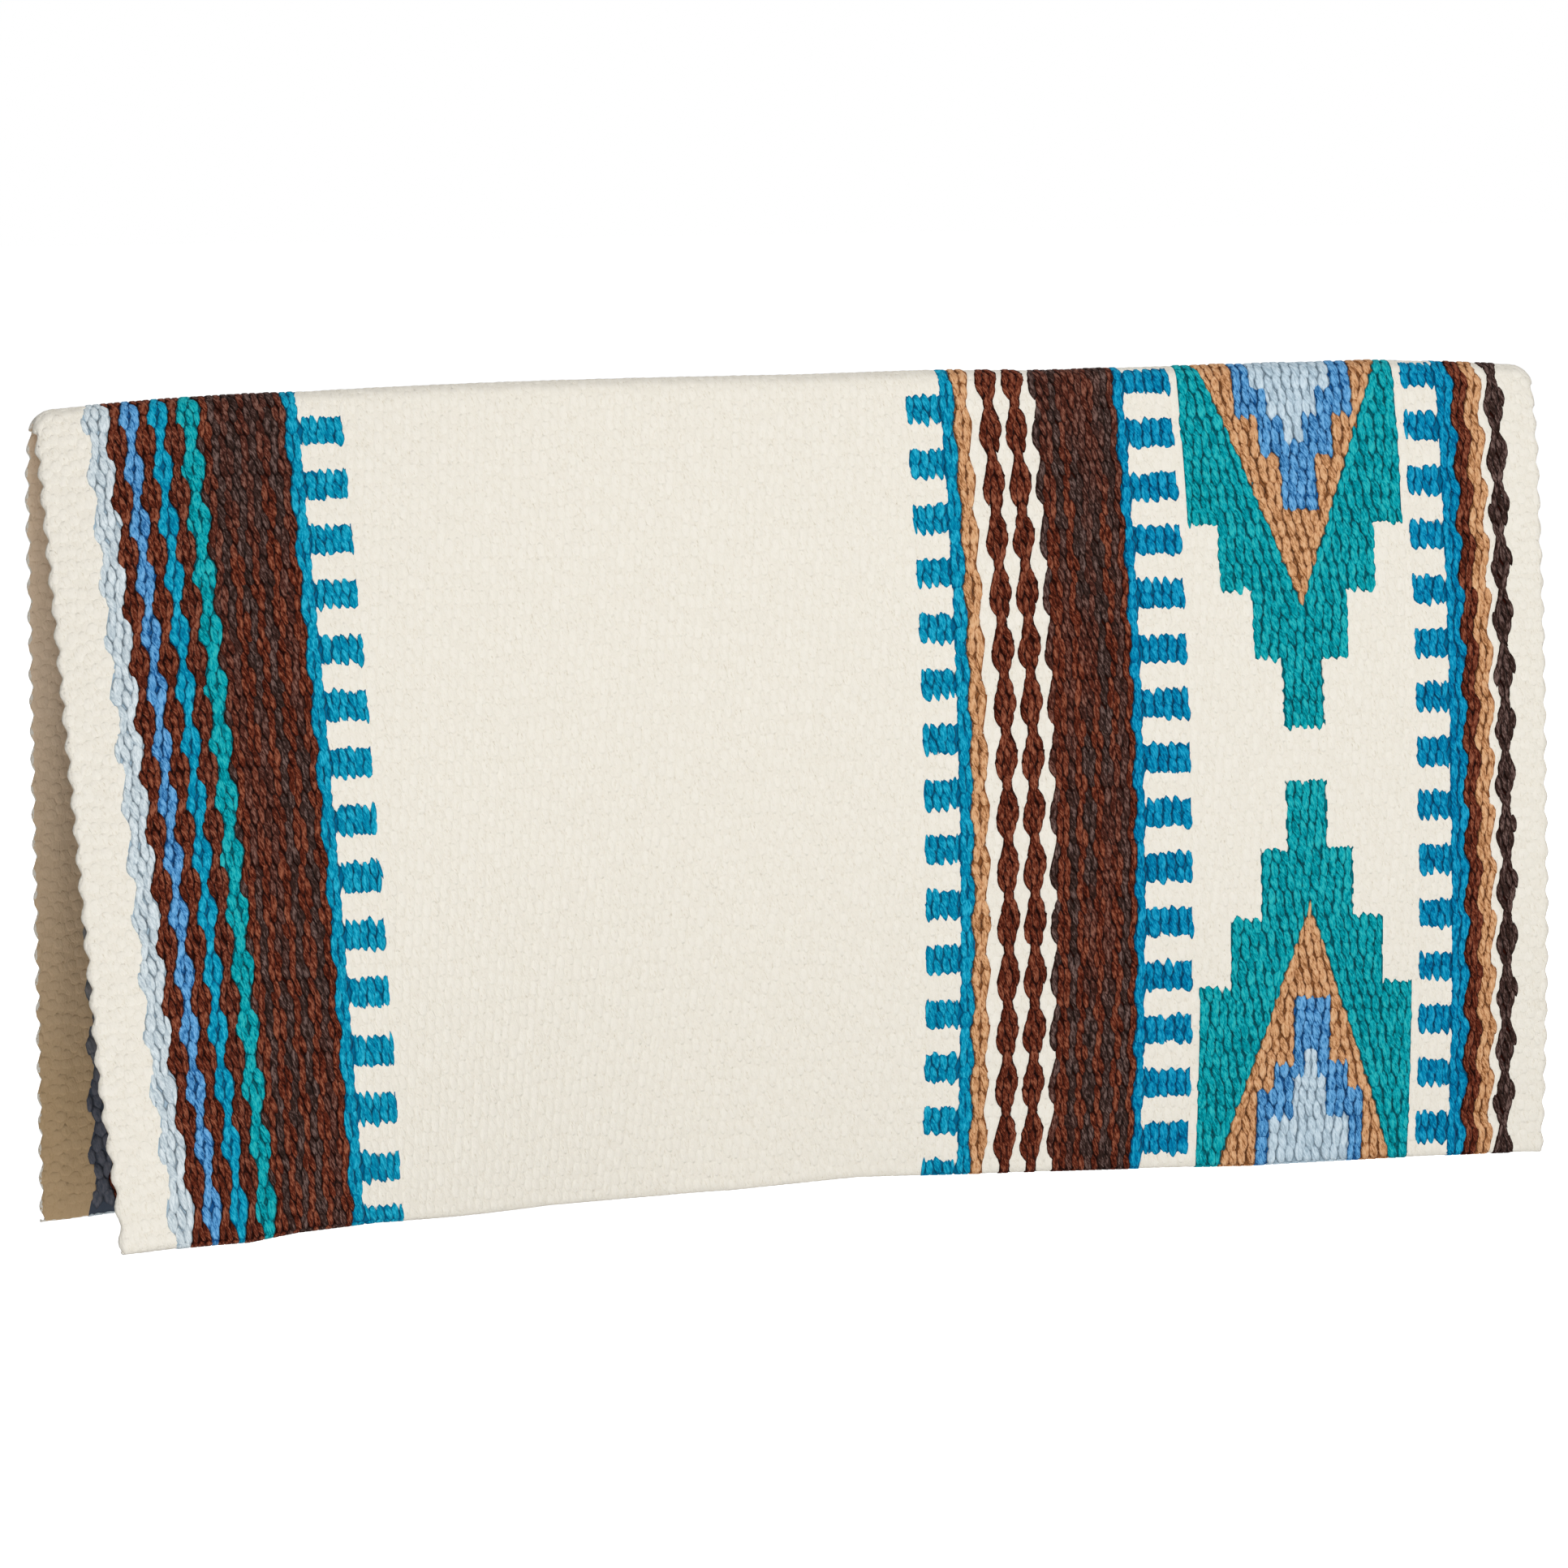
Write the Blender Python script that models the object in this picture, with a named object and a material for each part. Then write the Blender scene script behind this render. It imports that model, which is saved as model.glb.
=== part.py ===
"""Woven wool saddle blanket, folded over at its middle and hanging by the fold.

Metres, +Z up. The origin is on the inside of the fold, at mid width. +X runs along the fold,
-Y is the near side and +Y the off side. The weft crosses the blanket from hem to hem and the
warp ends run along the fold. Each colour area is woven with its own weft yarn, so each is an
object: "near" and "off" ones for the two flaps, and the "crown" over the fold, which carries
both. Flat cloth has two coordinates: x along the fold from mid width, and s down the outer
face from the crest of the fold.
"""

import math

import bmesh
import bpy
from mathutils import Vector, geometry

# Cloth
WARP_PITCH = 0.00775
PASS_PITCH = 0.001954
THICKNESS = 0.009
ENDS = 118
FOLD_SHIFT_ENDS = 0.8

# Drape
FOLD_RADIUS = 0.0015
LEFT_DROOP = 0.0139
RIGHT_DROOP = 0.0064
DROOP_POWER = 3
MIDDLE_TILT = math.radians(15.3)
LEFT_TILT = math.radians(29)
RIGHT_TILT = math.radians(17.3)
MIDDLE_HEM_TURN = math.radians(21.3)
LEFT_HEM_TURN = math.radians(5)
FLARE_START_SHARE = 0.11
HINGE_ANGLE = math.radians(45)

# Fit and fineness of the solids
SEAM_GAP = 0.0003
SPAN = 0.035
LEAST_STEP = 0.0015
ARC_ROWS = 3

# Woven edges
WAVE_SWING = 0.002
WAVE_ENDS = 4
WAVE_RISE_SHARE = 0.35
TOOTH_ENDS = 2
TOOTH_GAP_ENDS = 2

# Stepped motif: half widths in weft passes, lengths in warp ends from the fold or the hem
GREEN_STEPS = ((33, 12.4), (23, 17.7), (14, 22.8), (6, 27.4))
BLUE_STEPS = ((19, 4.3), (12, 7.2), (5, 11.2))
LIGHT_BLUE_STEPS = ((13.5, 2.6), (7.7, 4.5), (3, 7.1))
GREEN_HEM_STEPS = ((33, 12.9), (23, 17.9), (14, 22.9), (6, 27.9))
BLUE_HEM_STEPS = ((17, 4.8), (11.5, 7.5), (5.5, 11.7))
LIGHT_BLUE_HEM_STEPS = ((13, 2.9), (5, 5.7), (2, 8))
TAN_HALF_PASSES = 28
TAN_ENDS = 18.7
TAN_HEM_HALF_PASSES = 27
TAN_HEM_ENDS = 19.1

# Yarns: colour as sRGB shares, and roughness
YARN_SHARES = {
    "cream": (0.933, 0.914, 0.871),
    "brown": (0.318, 0.192, 0.161),
    "teal": (0.043, 0.569, 0.698),
    "green": (0.047, 0.557, 0.604),
    "tan": (0.702, 0.529, 0.388),
    "blue": (0.235, 0.502, 0.718),
    "light_blue": (0.675, 0.765, 0.816),
}
ROUGHNESS = 0.9


# The weaver's draft, left to right: stripe, its yarn, its weft passes, its right-hand edge and
# the area that it joins on the off flap, where some narrow stripes share one solid. A wave
# names the warp end of a crest. Teeth name their reach in passes and the warp end of the first.
PLAIN = ("plain",)
DRAFT = (
    ("margin_left", "cream", 14, ("wave", 3.45), "margin_left"),
    ("light_blue_wave", "light_blue", 6, ("wave", 1.4), "light_blue_wave"),
    ("brown_wave_1", "brown", 4, ("wave", 3.45), "brown_wave_1"),
    ("blue_wave", "blue", 4, ("wave", 1.4), "blue_wave"),
    ("brown_wave_2", "brown", 4, ("wave", 3.45), "brown_wave_2"),
    ("teal_wave", "teal", 4, ("wave", 1.4), "teal_wave"),
    ("brown_wave_3", "brown", 4, ("wave", 3.45), "brown_wave_3"),
    ("green_wave", "green", 5, ("wave", 1.4), "green_wave"),
    ("brown_band_left", "brown", 24, PLAIN, "brown_band_left"),
    ("teal_teeth_1", "teal", 4, ("teeth", 12, 2.6), "teal_teeth_1"),
    ("cream_field", "cream", 187, ("teeth", -10, 2.6), "cream_field"),
    ("teal_teeth_2", "teal", 5, ("wave", 2.7), "teal_teeth_2"),
    ("tan_wave", "tan", 3, ("wave", 0.7), "tan_wave"),
    ("cream_1", "cream", 4, ("wave", 3.2), "cream_beads"),
    ("brown_beads_1", "brown", 5, ("wave", 0.7), "cream_beads"),
    ("cream_2", "cream", 3, ("wave", 3.2), "cream_beads"),
    ("brown_beads_2", "brown", 5, ("wave", 0.7), "cream_beads"),
    ("cream_3", "cream", 3, ("wave", 3.2), "cream_beads"),
    ("brown_band_right", "brown", 25, PLAIN, "brown_band_right"),
    ("teal_teeth_3", "teal", 3, ("teeth", 14, 0.9), "teal_teeth_3"),
    ("motif_ground", "cream", 95, ("teeth", -10, 0.6), "motif_ground"),
    ("teal_teeth_4", "teal", 5, ("wave", 2.25), "teal_teeth_4"),
    ("brown_stripe", "brown", 5, ("wave", 2.25), "brown_stripe"),
    ("tan_wave_right", "tan", 3, ("wave", 2.25), "brown_stripe"),
    ("cream_right", "cream", 2, ("wave", 1.65), "margin_right"),
    ("dark_beads", "brown", 5, ("wave", 3.15), "margin_right"),
    ("margin_right", "cream", 11, PLAIN, "margin_right"),
)

WIDTH = PASS_PITCH * sum(passes for _, _, passes, _, _ in DRAFT)
OUTER_RADIUS = FOLD_RADIUS + THICKNESS
HINGE_S = OUTER_RADIUS * HINGE_ANGLE
NEAR, OFF = -1, 1
DROPS = {
    NEAR: (ENDS / 2 + FOLD_SHIFT_ENDS) * WARP_PITCH,
    OFF: (ENDS / 2 - FOLD_SHIFT_ENDS) * WARP_PITCH,
}


def smooth(share):
    share = min(max(share, 0), 1)
    return share * share * (3 - 2 * share)


def stance(side, x):
    """How far from plumb the flap leaves the fold, and how far it turns back by its hem.

    The off flap hangs plumb. The near one bulges, and flares out towards its left end.
    """
    if side == OFF:
        return 0, 0
    share = 2 * x / WIDTH
    flare = smooth((-share - FLARE_START_SHARE) / (1 - FLARE_START_SHARE))
    tilt = MIDDLE_TILT + flare * (LEFT_TILT - MIDDLE_TILT)
    tilt += smooth(share) * (RIGHT_TILT - MIDDLE_TILT)
    return tilt, MIDDLE_HEM_TURN + flare * (LEFT_HEM_TURN - MIDDLE_HEM_TURN)


def droop_at(x):
    """How far the fold hangs below its middle."""
    most = LEFT_DROOP if x < 0 else RIGHT_DROOP
    return most * abs(2 * x / WIDTH) ** DROOP_POWER


def hung(side, x, s, depth):
    """The point at (x, s) of the flat cloth, so deep under its outer face, as it hangs."""
    tilt, hem_turn = stance(side, x)
    arc = OUTER_RADIUS * (math.pi / 2 - tilt)
    if s <= arc:
        up_angle = math.pi / 2 - s / OUTER_RADIUS
        out = OUTER_RADIUS * math.cos(up_angle)
        up = OUTER_RADIUS * math.sin(up_angle)
    else:
        run = s - arc
        turn = hem_turn * run / (DROPS[side] - arc)
        chord = run * math.sin(turn / 2) / (turn / 2) if turn else run
        up_angle = tilt - turn
        out = OUTER_RADIUS * math.cos(tilt) + chord * math.sin(tilt - turn / 2)
        up = OUTER_RADIUS * math.sin(tilt) - chord * math.cos(tilt - turn / 2)
    out -= depth * math.cos(up_angle)
    up -= depth * math.sin(up_angle)
    return Vector((x, side * out, up - FOLD_RADIUS - droop_at(x)))


def edge_points(edge, x, start, end):
    """One stripe's edge down the flat cloth, from start to end."""
    kind, *values = edge
    if kind == "wave":
        return wave_points(x, values[0] * WARP_PITCH, start, end)
    if kind == "teeth":
        return tooth_points(x, values[0] * PASS_PITCH, values[1] * WARP_PITCH, start, end)
    return [(x, start), (x, end)]


def wave_points(x, crest, start, end):
    """Crests and troughs in turn: the edge swings to the right quickly and back slowly."""
    pitch = WAVE_ENDS * WARP_PITCH
    rise = WAVE_RISE_SHARE * pitch
    turns = []
    for i in range(-1, math.ceil((end - crest) / pitch) + 2):
        turns.append((x - WAVE_SWING, crest + i * pitch - rise))
        turns.append((x + WAVE_SWING, crest + i * pitch))
    inside = [p for p in turns if start + LEAST_STEP < p[1] < end - LEAST_STEP]
    return [on_line(turns, start), *inside, on_line(turns, end)]


def on_line(points, s):
    """Where a line down the cloth through these points passes s."""
    for (x0, s0), (x1, s1) in zip(points, points[1:]):
        if s0 <= s <= s1:
            return (x0 + (x1 - x0) * (s - s0) / (s1 - s0), s)
    return (points[-1][0], s)


def tooth_points(x, reach, first, start, end):
    """The corners of a comb's teeth, from start to end."""
    points = []
    pitch = (TOOTH_ENDS + TOOTH_GAP_ENDS) * WARP_PITCH
    for i in range(-1, math.ceil((end - first) / pitch) + 1):
        top = max(first + i * pitch, start)
        bottom = min(first + i * pitch + TOOTH_ENDS * WARP_PITCH, end)
        if bottom - top < LEAST_STEP:
            continue
        if top > start:
            points.append((x, top))
        points += [(x + reach, top), (x + reach, bottom)]
        if bottom < end:
            points.append((x, bottom))
    if points[0][1] > start:
        points.insert(0, (x, start))
    if points[-1][1] < end:
        points.append((x, end))
    return points


def stepped(centre, steps, base, direction):
    """A stepped outline, from its left foot on the base up over its tip to its right foot."""
    left, reached = [], 0
    for half_passes, ends in steps:
        x = centre - half_passes * PASS_PITCH
        left.append((x, base + direction * reached))
        reached = ends * WARP_PITCH
        left.append((x, base + direction * reached))
    return left + [(2 * centre - x, s) for x, s in reversed(left)]


def pointed(centre, half_passes, ends, base, direction):
    """A triangle's outline, from its left foot on the base over its tip to its right foot."""
    half = half_passes * PASS_PITCH
    tip = (centre, base + direction * ends * WARP_PITCH)
    return [(centre - half, base), tip, (centre + half, base)]


def cut_at(outline, base):
    """The part of a motif's outline that lies past the seam at base, with its feet on it."""
    left, right = outline[:2], outline[-2:]
    foot_left = on_line(left, base)
    foot_right = on_line(right[::-1], base)
    return [foot_left, *outline[1:-1], foot_right]


def motifs(centre, drop):
    """Outlines of the two half diamonds: one grows from the fold and one from the hem."""
    upper = {
        "green": stepped(centre, GREEN_STEPS, 0, 1),
        "tan": pointed(centre, TAN_HALF_PASSES, TAN_ENDS, 0, 1),
        "blue": stepped(centre, BLUE_STEPS, 0, 1),
        "light_blue": stepped(centre, LIGHT_BLUE_STEPS, 0, 1),
    }
    lower = {
        "green": stepped(centre, GREEN_HEM_STEPS, drop, -1),
        "tan": pointed(centre, TAN_HEM_HALF_PASSES, TAN_HEM_ENDS, drop, -1),
        "blue": stepped(centre, BLUE_HEM_STEPS, drop, -1),
        "light_blue": stepped(centre, LIGHT_BLUE_HEM_STEPS, drop, -1),
    }
    return {yarn: cut_at(outline, HINGE_S) for yarn, outline in upper.items()}, lower


def nested(outlines, yarns, place):
    """One area for each yarn, between its own outline and that of the next yarn inside it."""
    areas = []
    for yarn, inner in zip(yarns, [*yarns[1:], None]):
        inside = outlines[inner][::-1] if inner else []
        areas.append((f"{yarn}_{place}", yarn, outlines[yarn] + inside))
    return areas


def flap_areas(side):
    """Every colour area of one flap: name, yarn and outline on the flat cloth."""
    drop = DROPS[side]
    draft = DRAFT if side == NEAR else joined_draft()
    yarns = ["green", "tan", "blue", "light_blue"]
    if side == OFF:
        yarns = yarns[:2]
    areas = []
    x = -WIDTH / 2
    left = edge_points(PLAIN, x, HINGE_S, drop)
    for name, yarn, passes, edge, _ in draft:
        right = edge_points(edge, x + passes * PASS_PITCH, HINGE_S, drop)
        outline = left + right[::-1]
        if name == "motif_ground":
            upper, lower = motifs(motif_centre(left, right), drop)
            outline = left + lower["green"] + right[::-1] + upper["green"][::-1]
            areas += nested(upper, yarns, "upper") + nested(lower, yarns, "lower")
        areas.append((name, yarn, outline))
        x += passes * PASS_PITCH
        left = right
    return areas


def joined_draft():
    """The draft with the stripes joined that share an area, and straight edges for waves."""
    rows = []
    for _, yarn, passes, edge, area in DRAFT:
        edge = edge if edge[0] == "teeth" else PLAIN
        if rows and rows[-1][0] == area:
            rows[-1] = (area, rows[-1][1], rows[-1][2] + passes, edge, area)
        else:
            rows.append((area, yarn, passes, edge, area))
    return rows


def motif_centre(left, right):
    """Midway between the teeth that reach in from both sides."""
    return (max(x for x, _ in left) + min(x for x, _ in right)) / 2


def inset(outline):
    """The outline drawn in by half a seam gap, with mitred corners."""
    points = [Vector(p) for p in outline]
    area = sum(a.cross(b) for a, b in zip(points, points[1:] + points[:1]))
    inward = math.copysign(1, area)
    drawn = []
    for before, point, after in zip(points[-1:] + points, points, points[1:] + points[:1]):
        normals = [
            Vector((-way.y, way.x)).normalized() * inward
            for way in (point - before, after - point)
        ]
        middle = (normals[0] + normals[1]).normalized()
        drawn.append(point + middle * (SEAM_GAP / 2 / middle.dot(normals[0])))
    return drawn


def divided(side, outline, rows):
    """The outline with a point on each row that it crosses, and no stretch over one span."""
    bent = 1 if side == NEAR else 0
    points = []
    for (x0, s0), (x1, s1) in zip(outline, outline[1:] + outline[:1]):
        crossed = [row for row in rows if min(s0, s1) < row < max(s0, s1)]
        stops = [(x0, s0)]
        for row in sorted(crossed, reverse=s1 < s0):
            stops.append((x0 + (x1 - x0) * (row - s0) / (s1 - s0), row))
        stops.append((x1, s1))
        for a, b in zip(stops, stops[1:]):
            reach = math.hypot(b[0] - a[0], bent * (b[1] - a[1]))
            points += [a, *between(a, b, reach)]
    return points


def between(a, b, reach):
    """Points that share out the stretch from a to b, so that no part of its reach is long."""
    parts = math.ceil(reach / SPAN)
    shares = [i / parts for i in range(1, parts)]
    return [(a[0] + (b[0] - a[0]) * share, a[1] + (b[1] - a[1]) * share) for share in shares]


def ribs(edge, rows):
    """Lines across the area along the rows: points to add, and pairs of points to join."""
    points, joins = list(edge), []
    for row in rows:
        ends = [index for index, point in enumerate(edge) if point[1] == row]
        ends.sort(key=lambda index: edge[index][0])
        for left, right in zip(ends[::2], ends[1::2]):
            inner = between(edge[left], edge[right], edge[right][0] - edge[left][0])
            line = [left, *range(len(points), len(points) + len(inner)), right]
            points += inner
            joins += zip(line, line[1:])
    return points, joins


def clear_of(point, outline):
    """Whether the point keeps a quarter of a span from each edge of the outline."""
    for a, b in zip(outline, outline[1:] + outline[:1]):
        a, b = Vector(a), Vector(b)
        nearest, share = geometry.intersect_point_line(point, a, b)
        if not 0 <= share <= 1:
            nearest = b if share > 1 else a
        if (point - nearest.to_2d()).length < SPAN / 4:
            return False
    return True


def grid_points(side, edge):
    """Points spread over a wide area of the bent flap, clear of its outline."""
    if side == OFF:
        return []
    across = math.floor(WIDTH / 2 / SPAN)
    down = math.floor(DROPS[side] / SPAN)
    grid = [
        Vector((i * SPAN, j * SPAN))
        for i in range(-across, across + 1)
        for j in range(1, down + 1)
    ]
    return [point[:] for point in grid if clear_of(point, edge)]


def solid_area(side, outline, rows, hinge):
    """A closed solid of the area: filled flat, given its thickness, then hung."""
    edge = divided(side, inset(outline), rows)
    points, joins = ribs(edge, rows)
    points = [Vector(point) for point in points + grid_points(side, edge)]
    filled = geometry.delaunay_2d_cdt(points, joins, [list(range(len(edge)))], 1, SEAM_GAP / 100)
    mesh = bmesh.new()
    used = {index for face in filled[2] for index in face}
    verts = {index: mesh.verts.new((*filled[0][index], 0)) for index in sorted(used)}
    for face in filled[2]:
        mesh.faces.new([verts[index] for index in face])
    bmesh.ops.recalc_face_normals(mesh, faces=mesh.faces[:])
    outer = list(mesh.verts)
    extruded = bmesh.ops.extrude_face_region(mesh, geom=mesh.faces[:])
    inner = [part for part in extruded["geom"] if isinstance(part, bmesh.types.BMVert)]
    split_walls(mesh, set(inner))
    for layer, depth in ((outer, 0), (inner, THICKNESS)):
        for vert in layer:
            x, s, _ = vert.co
            vert.co = hung(side, x, s, depth) - hinge
    bmesh.ops.recalc_face_normals(mesh, faces=mesh.faces[:])
    return mesh


def split_walls(mesh, inner):
    """Splits each wall the same way, so that the walls of two neighbours stay a gap apart."""
    for wall in [face for face in mesh.faces if len(face.verts) == 4]:
        place = {vert: (vert.co.y, vert.co.x) for vert in wall.verts}
        top = min((vert for vert in wall.verts if vert not in inner), key=place.get)
        foot = max((vert for vert in wall.verts if vert in inner), key=place.get)
        bmesh.utils.face_split(wall, top, foot)


def yarn_material(name, yarn):
    """A matt wool of the yarn's colour."""
    material = bpy.data.materials.new(f"{name}_wool")
    material.use_nodes = True
    shader = material.node_tree.nodes["Principled BSDF"]
    linear = [linear_of(share) for share in YARN_SHARES[yarn]]
    shader.inputs["Base Color"].default_value = (*linear, 1)
    shader.inputs["Roughness"].default_value = ROUGHNESS
    shader.inputs["Metallic"].default_value = 0
    return material


def linear_of(share):
    """One sRGB channel turned linear, by the standard curve."""
    low_share, offset_share, gain = 0.04045, 0.055, 12.92
    if share <= low_share:
        return share / gain
    return ((share + offset_share) / (1 + offset_share)) ** 2.4


def add_piece(name, yarn, mesh, parent, collection):
    data = bpy.data.meshes.new(name)
    mesh.to_mesh(data)
    mesh.free()
    data.materials.append(yarn_material(name, yarn))
    piece = bpy.data.objects.new(name, data)
    piece.parent = parent
    collection.objects.link(piece)


def add_hinge(name, side, collection):
    """An empty on a flap's joint axis: the outer face where the crown ends, at mid width."""
    hinge = bpy.data.objects.new(name, None)
    hinge.location = hung(side, 0, HINGE_S, 0)
    hinge.empty_display_size = THICKNESS
    collection.objects.link(hinge)
    return hinge


def add_flap(side, prefix, collection):
    hinge = add_hinge(f"{prefix}_hinge", side, collection)
    arc_end = OUTER_RADIUS * math.pi / 2
    rows = [HINGE_S + (arc_end - HINGE_S) * i / ARC_ROWS for i in range(1, ARC_ROWS + 1)]
    for name, yarn, outline in flap_areas(side):
        mesh = solid_area(side, outline, rows, hinge.location)
        add_piece(f"{prefix}_{name}", yarn, mesh, hinge, collection)


def add_crown(collection):
    """The strip over the fold, from one flap's seam to the other's."""
    half = WIDTH / 2
    outline = [(-half, -HINGE_S), (half, -HINGE_S), (half, HINGE_S), (-half, HINGE_S)]
    rows = [HINGE_S * (i / ARC_ROWS) for i in range(1 - ARC_ROWS, ARC_ROWS)]
    mesh = solid_area(NEAR, outline, rows, Vector())
    add_piece("crown", "cream", mesh, None, collection)


def main():
    for thing in list(bpy.data.objects):
        bpy.data.objects.remove(thing, do_unlink=True)
    collection = bpy.data.collections.new("saddle_blanket")
    bpy.context.scene.collection.children.link(collection)
    add_crown(collection)
    add_flap(NEAR, "near", collection)
    add_flap(OFF, "off", collection)
    bpy.context.view_layer.update()


if __name__ == "__main__":
    main()
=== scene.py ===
"""Woven wool saddle blanket, folded over and hanging by its fold: the yarn that shows.

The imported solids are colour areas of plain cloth. Here each area gets the yarn that it is woven
of, float by float, over a ground cloth. Metres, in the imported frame. Flat cloth has x along the
fold from mid width, and s down the outer face from the crest of the fold.
"""

import math

import bmesh
import bpy
import numpy as np
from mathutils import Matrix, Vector


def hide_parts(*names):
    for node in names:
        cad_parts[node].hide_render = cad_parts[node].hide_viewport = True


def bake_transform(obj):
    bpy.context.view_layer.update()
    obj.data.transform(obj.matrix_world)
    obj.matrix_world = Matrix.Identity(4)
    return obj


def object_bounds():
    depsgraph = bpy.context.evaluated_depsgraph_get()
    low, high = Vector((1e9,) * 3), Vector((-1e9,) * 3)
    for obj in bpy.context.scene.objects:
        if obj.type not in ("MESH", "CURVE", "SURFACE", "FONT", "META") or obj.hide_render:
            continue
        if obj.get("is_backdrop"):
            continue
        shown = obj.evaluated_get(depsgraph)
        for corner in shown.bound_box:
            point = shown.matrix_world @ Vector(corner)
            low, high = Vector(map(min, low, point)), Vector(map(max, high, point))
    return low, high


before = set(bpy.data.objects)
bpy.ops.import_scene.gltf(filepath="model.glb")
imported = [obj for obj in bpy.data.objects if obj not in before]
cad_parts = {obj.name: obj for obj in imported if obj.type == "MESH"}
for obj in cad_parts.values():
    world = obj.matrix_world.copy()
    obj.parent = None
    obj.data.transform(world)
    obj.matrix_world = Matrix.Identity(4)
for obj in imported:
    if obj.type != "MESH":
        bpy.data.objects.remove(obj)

bl_info = {
    "name": "Woven wool saddle blanket",
    "version": (1, 0, 0),
    "blender": (4, 5, 0),
    "location": "3D View > Sidebar > Blanket",
    "description": "The yarn, ground cloth and stage of a folded tapestry-woven blanket",
    "category": "Object",
}

NEAR, OFF = -1, 1
FLAPS = {NEAR: "near", OFF: "off"}
CROWN = "crown"

# The weaver's draft, left to right: stripe, yarn, weft passes and right-hand edge. A wave names
# the warp end of a crest, and its share of the full swing if it has less. Teeth name their reach
# in passes and the warp end of the first. The stripes are those of the solids, some of them a
# pass or so wider or narrower.
PLAIN = ("plain",)
DRAFT = (
    ("margin_left", "cream", 14, ("wave", 3.45)),
    ("light_blue_wave", "light_blue", 6, ("wave", 1.4)),
    ("brown_wave_1", "brown", 4, ("wave", 3.45)),
    ("blue_wave", "blue", 4, ("wave", 1.4)),
    ("brown_wave_2", "brown", 4, ("wave", 3.45)),
    ("teal_wave", "teal", 4, ("wave", 1.4)),
    ("brown_wave_3", "brown", 4, ("wave", 3.45)),
    ("green_wave", "green", 5, ("wave", 1.4)),
    ("brown_band_left", "brown", 24, ("wave", 2.1, 0.6)),
    ("teal_teeth_1", "teal", 4, ("teeth", 12, 2.6)),
    ("cream_field", "cream", 187, ("teeth", -10, 2.6)),
    ("teal_teeth_2", "teal", 4, ("wave", 2.7, 0.5)),
    ("tan_wave", "tan", 4.5, ("wave", 0.7, 0.7)),
    ("cream_1", "cream", 3.5, ("wave", 3.2)),
    ("brown_beads_1", "brown", 5, ("wave", 0.7)),
    ("cream_2", "cream", 3, ("wave", 3.2)),
    ("brown_beads_2", "brown", 5, ("wave", 0.7)),
    ("cream_3", "cream", 3, ("wave", 3.2)),
    ("brown_band_right", "brown", 25, ("wave", 0.4, 0.6)),
    ("teal_teeth_3", "teal", 3, ("teeth", 14, 0.9)),
    ("motif_ground", "cream", 95, ("teeth", -10, 0.6)),
    ("teal_teeth_4", "teal", 5, ("wave", 2.25)),
    ("brown_stripe", "brown", 4, ("wave", 2.25)),
    ("tan_wave_right", "tan", 4.5, ("wave", 2.25)),
    ("cream_right", "cream", 2, ("wave", 1.65)),
    ("dark_beads", "brown", 4.5, ("wave", 3.15)),
    ("margin_right", "cream", 11, PLAIN),
)
STRIPES = {name: yarn for name, yarn, *_ in DRAFT}

# The off flap's solids that do not have their stripe's name: one stands for five bead stripes,
# and the last three stripes here lie in their neighbours' solids
OFF_SOLIDS = {
    "cream_1": "cream_beads", "brown_beads_1": None, "cream_2": None, "brown_beads_2": None,
    "cream_3": None, "tan_wave_right": None, "cream_right": None, "dark_beads": None,
}
OFF_MOTIF_SOLIDS = ("green", "tan")

# Warp ends in a tooth, and from the start of a tooth or a wave to the next
TOOTH_ENDS = 2
TEETH_ENDS = 4
MARGINS = ("margin_left", "margin_right")

# Each yarn's wool, and its colours: painted shade in hollows, the middle, painted light on fibres
WOOLS = {
    "cream": ("Undyed white wool", "cbc1b0", "e3dccd", "ede8dd"),
    "brown": ("Red-brown wool", "2c0e07", "622a1b", "965a42"),
    "charcoal": ("Grey-brown wool", "221611", "3c2a26", "745e58"),
    "teal": ("Teal wool", "00668e", "0391b2", "2eb4d2"),
    "deep_teal": ("Bluer lot of the teal wool", "005584", "0086b1", "25a6cc"),
    "green": ("Blue-green wool", "00626e", "029fac", "33b8ba"),
    "tan": ("Tan wool", "85532f", "cf996c", "dfb48b"),
    "blue": ("Blue wool", "14508a", "5596ca", "79b4e2"),
    "light_blue": ("Pale blue wool", "9cb1bf", "bccfdb", "d2e1ea"),
    "pale_blue": ("Greyer lot of the pale blue wool", "abbac3", "cad5da", "dfe8ec"),
}
TAILS = {"_dark": "in its hollows", "": "in the middle", "_light": "on its fibres"}
# Yarns whose material inside the fold is a copy with painted shade
SHADED_YARNS = ("cream", "light_blue")

# Where the soft cream yarn differs from the hard spun dyed ones: the span of fuzz that the
# colours run over, from painted shade to painted light, how far floats differ, how dark the
# painted shade in the hollows is, the strength of the bump, and the sides and rings of a float,
# which has fewer rings inside the fold. The darkest float lies FLOAT_SHADE down its colours, and
# fibres make up a share of the fuzz.
LOOKS = {
    "cream": {
        "fuzz": (0.28, 0.46), "by_float": 0.1, "hollow_shade": -0.05, "bump": 0.9, "sides": 8, "rings": 5,
    },
    "dyed": {
        "fuzz": (0.39, 0.61), "by_float": 0.2, "hollow_shade": -0.7, "bump": 0.8, "sides": 6, "rings": 6,
    },
}
INSIDE_RINGS = 4
FLOAT_SHADE, FIBRE_SHARE = -0.1, 0.45

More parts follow.
